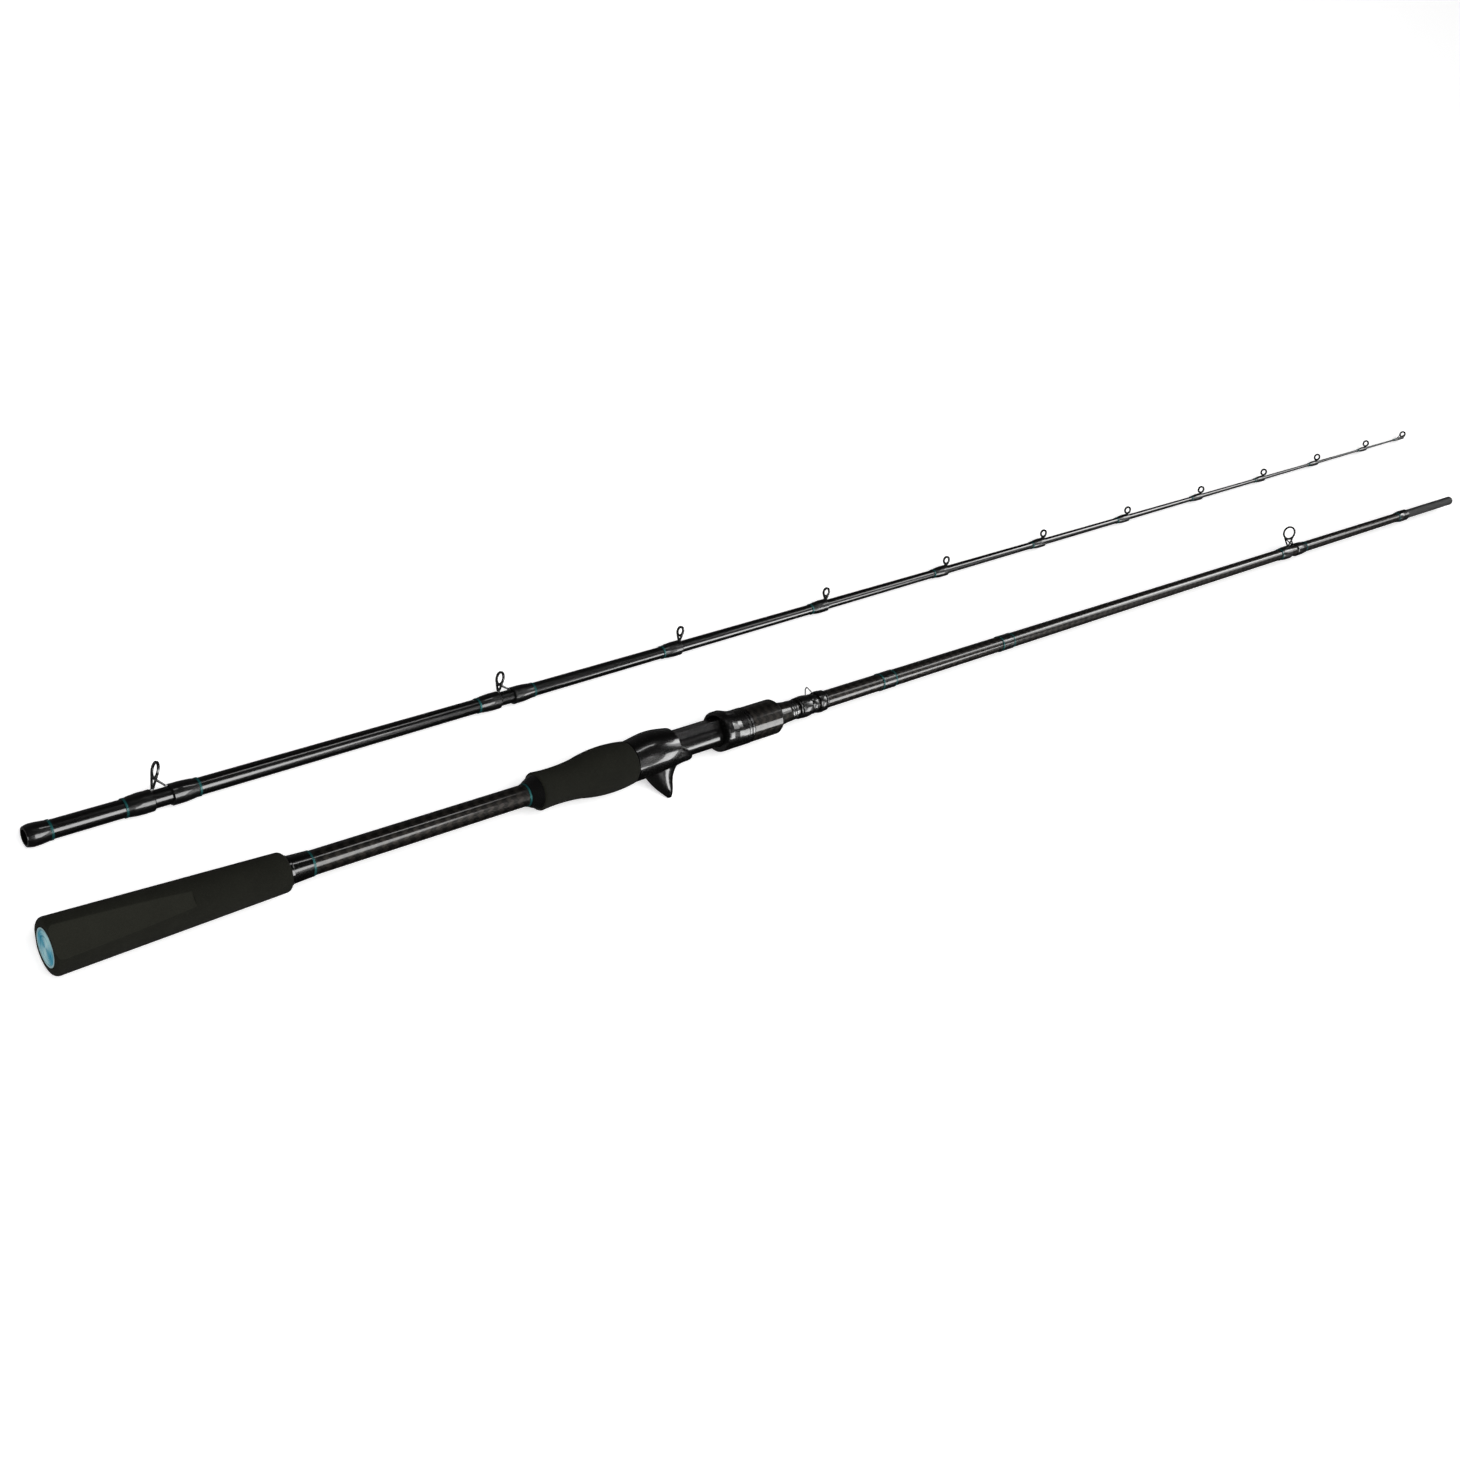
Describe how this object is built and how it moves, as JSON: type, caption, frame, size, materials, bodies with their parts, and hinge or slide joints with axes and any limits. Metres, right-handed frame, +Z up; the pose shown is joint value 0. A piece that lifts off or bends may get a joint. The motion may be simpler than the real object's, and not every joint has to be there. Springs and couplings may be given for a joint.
{
  "type": "fishing rod",
  "caption": "Two-piece casting rod taken apart: butt section with foam grips and a trigger reel seat beside a tip section with ring guides.",
  "frame": {"origin": "centre of the butt cap's outer face, at the butt end of the butt section", "axes": "+X along the butt section towards its ferrule, +Y towards the tip section lying beside it, +Z up from the surface they lie on"},
  "size_m": [1.4034, 0.1124, 0.0299],
  "materials": {
    "gloss_carbon": "clear-coated woven carbon and black lacquer",
    "eva_foam": "matt closed-cell foam",
    "gloss_black": "gloss black",
    "thread_wrap": "black thread under clear epoxy",
    "turquoise_thread": "metallic turquoise thread under epoxy",
    "blue_cap": "anodised blue",
    "bright_rim": "polished",
    "gunmetal": "dark gunmetal",
    "ring_insert": "polished dark ceramic",
    "dark_alloy": "dark anodised",
    "liner": "matt"
  },
  "bodies": {
    "butt_section": {"butt_blank": "gloss_carbon", "butt_cap": "blue_cap", "butt_cap_rim": "bright_rim", "butt_grip": "eva_foam", "butt_guide_frame": "gunmetal", "butt_guide_insert": "ring_insert", "butt_guide_wraps": "thread_wrap", "butt_thread_rings": "turquoise_thread", "decorative_wraps": "thread_wrap", "ferrule_wrap": "thread_wrap", "fixed_hood_liner": "liner", "fore_check_rings": "dark_alloy", "fore_cone": "gloss_carbon", "hook_keeper": "gunmetal", "keeper_wraps": "thread_wrap", "palm_grip": "eva_foam", "palm_grip_collar": "gloss_black", "rear_winding_check": "gloss_black", "reel_seat": "gloss_black", "seat_arbors": "liner"},
    "sliding_hood": {"sliding_hood": "gloss_black", "sliding_hood_liner": "liner", "hood_trim_ring": "dark_alloy"},
    "lock_nut": {"lock_nut": "dark_alloy", "nut_carbon_sleeve": "gloss_carbon", "nut_trim_ring": "dark_alloy"},
    "tip_section": {"guide_10_frame": "gunmetal", "guide_10_insert": "ring_insert", "guide_11_frame": "gunmetal", "guide_11_insert": "ring_insert", "guide_1_frame": "gunmetal", "guide_1_insert": "ring_insert", "guide_2_frame": "gunmetal", "guide_2_insert": "ring_insert", "guide_3_frame": "gunmetal", "guide_3_insert": "ring_insert", "guide_4_frame": "gunmetal", "guide_4_insert": "ring_insert", "guide_5_frame": "gunmetal", "guide_5_insert": "ring_insert", "guide_6_frame": "gunmetal", "guide_6_insert": "ring_insert", "guide_7_frame": "gunmetal", "guide_7_insert": "ring_insert", "guide_8_frame": "gunmetal", "guide_8_insert": "ring_insert", "guide_9_frame": "gunmetal", "guide_9_insert": "ring_insert", "mouth_wrap": "thread_wrap", "tip_blank": "gloss_carbon", "tip_guide_wraps": "thread_wrap", "tip_thread_rings": "turquoise_thread", "tip_top_frame": "gunmetal", "tip_top_insert": "ring_insert", "tip_top_wrap": "thread_wrap"}
  },
  "joints": [
    {"name": "hood_slide", "type": "slide", "parent": "butt_section", "child": "sliding_hood", "axis": [1, 0, 0], "range_m": [-0.008, 0.014]},
    {"name": "nut_spin", "type": "hinge", "parent": "sliding_hood", "child": "lock_nut", "pos_m": [0.456, 0, 0], "axis": [1, 0, 0], "range_deg": [-1441, 2521]},
    {"name": "tip_section_draw", "type": "slide", "parent": "butt_section", "child": "tip_section", "axis": [0.9999, 0.0152, 0], "range_m": [-0.088, 0.088]}
  ],
  "couplings": [
    {"joint": "nut_spin", "follows": "hood_slide", "rad_per_m": 3141.6}
  ]
}
